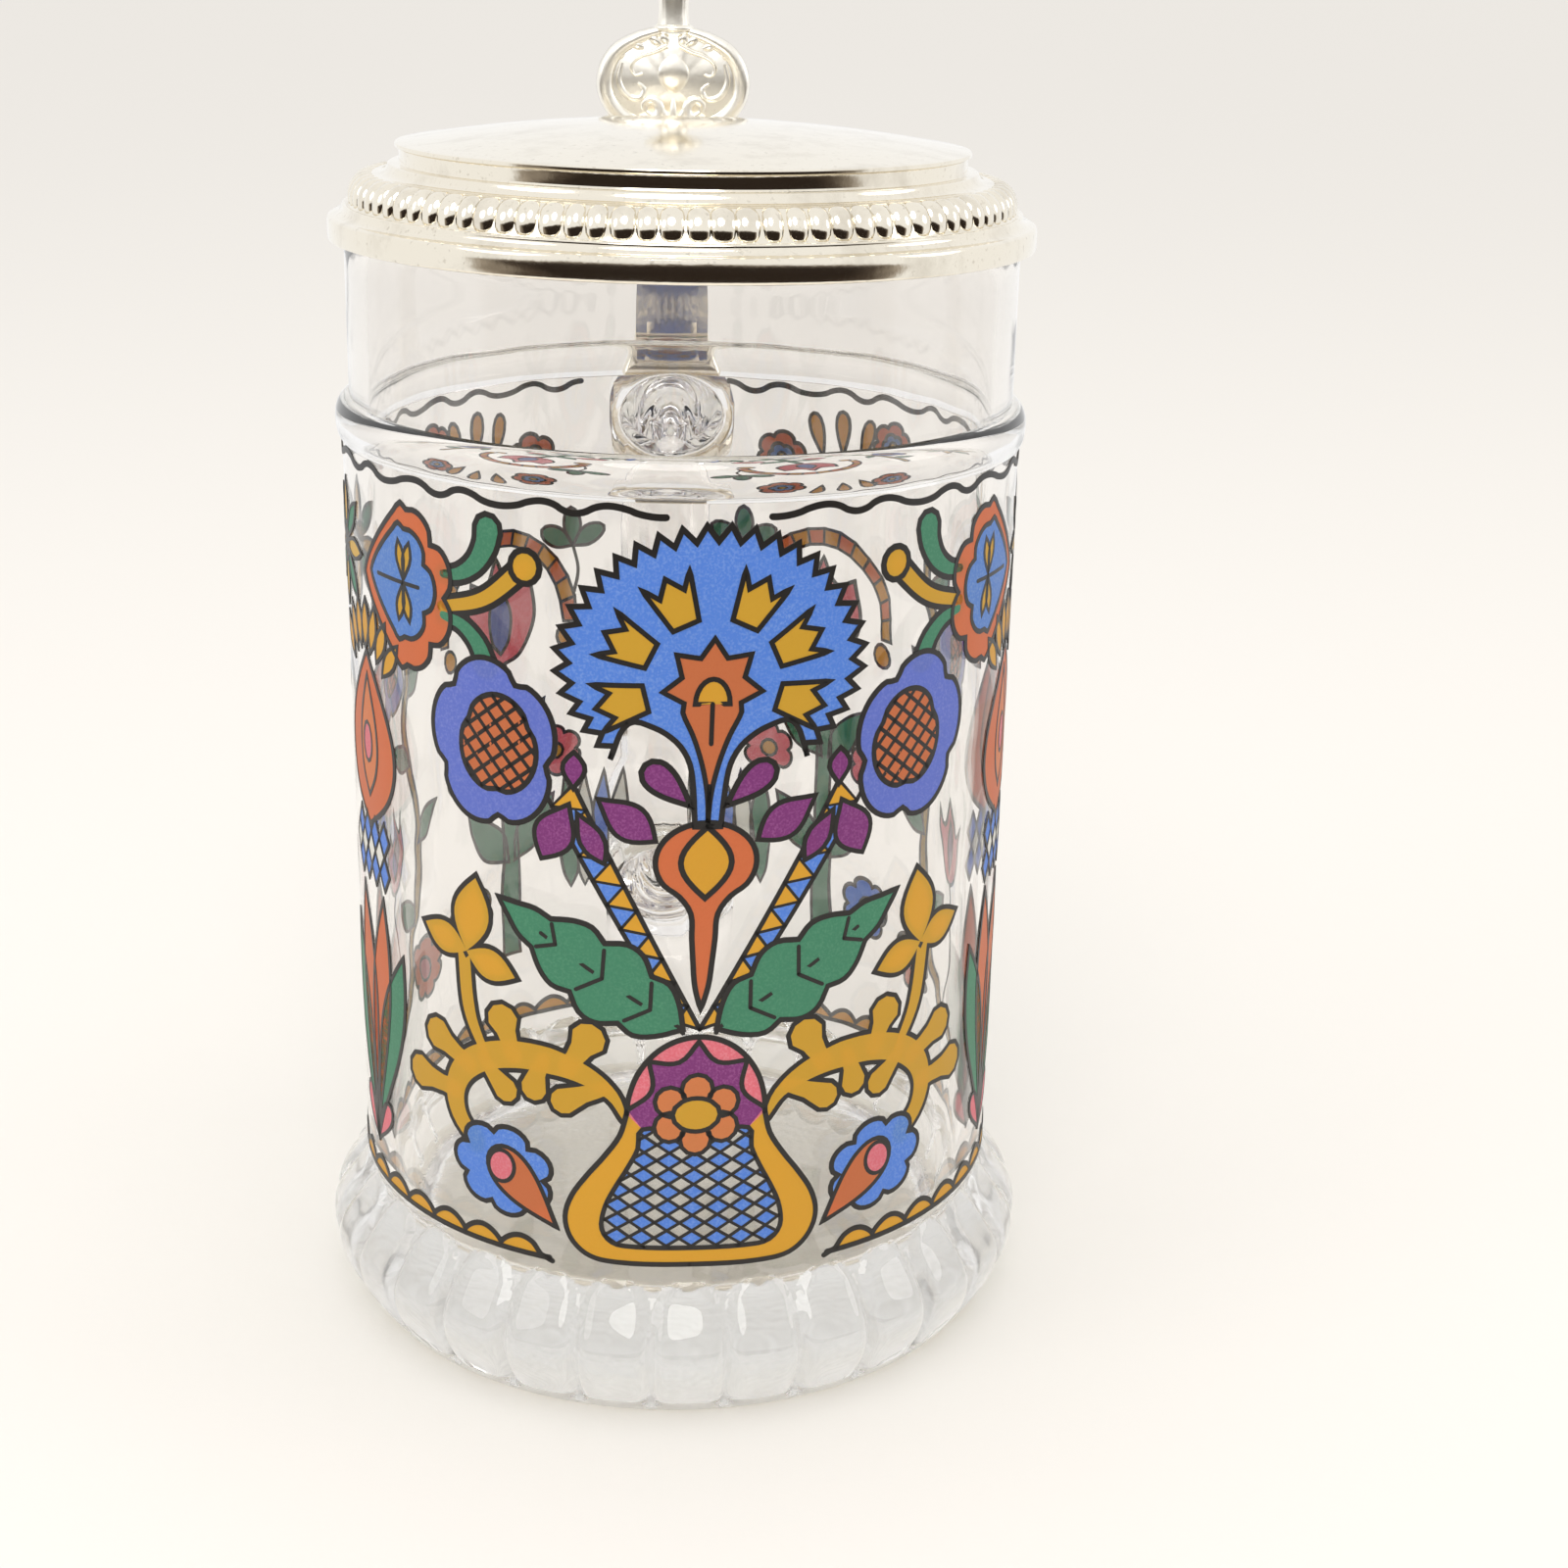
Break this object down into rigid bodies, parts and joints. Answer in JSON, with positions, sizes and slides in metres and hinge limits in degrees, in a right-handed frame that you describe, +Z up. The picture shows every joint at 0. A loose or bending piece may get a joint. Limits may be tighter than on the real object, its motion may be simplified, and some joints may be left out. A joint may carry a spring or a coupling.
{
  "type": "beer stein",
  "caption": "Clear pressed-glass beer stein with an ear handle, painted folk flowers and a hinged silvery metal lid with a thumblift.",
  "frame": {"origin": "middle of the foot's flat resting face", "axes": "+Z up along the mug's axis, +Y towards the handle and lid hinge, +X along the hinge pin"},
  "size_m": [0.0962, 0.1333, 0.1803],
  "materials": {
    "pressed_glass": "clear fire-polished pressed soda-lime glass, faintly green where thick",
    "silvered_metal": "polished silver-plated white metal with slight tarnish",
    "steel_pin": "drawn steel wire, ends spread",
    "fired_enamel": "opaque glass enamel, screen printed in flat colours with black outlines and fired on to the wall"
  },
  "bodies": {
    "mug": {"mug_body": "pressed_glass", "mug_handle": "pressed_glass", "handle_collar": "silvered_metal", "hinge_strap": "silvered_metal", "hinge_pin": "steel_pin"},
    "lid": {"lid_cover": "silvered_metal", "hinge_block": "silvered_metal", "thumblift": "silvered_metal"}
  },
  "joints": [
    {"name": "lid_hinge", "type": "hinge", "parent": "mug", "child": "lid", "pos_m": [0, 0.0484, 0.1426], "axis": [-1, 0, 0], "range_deg": [0, 100]}
  ]
}
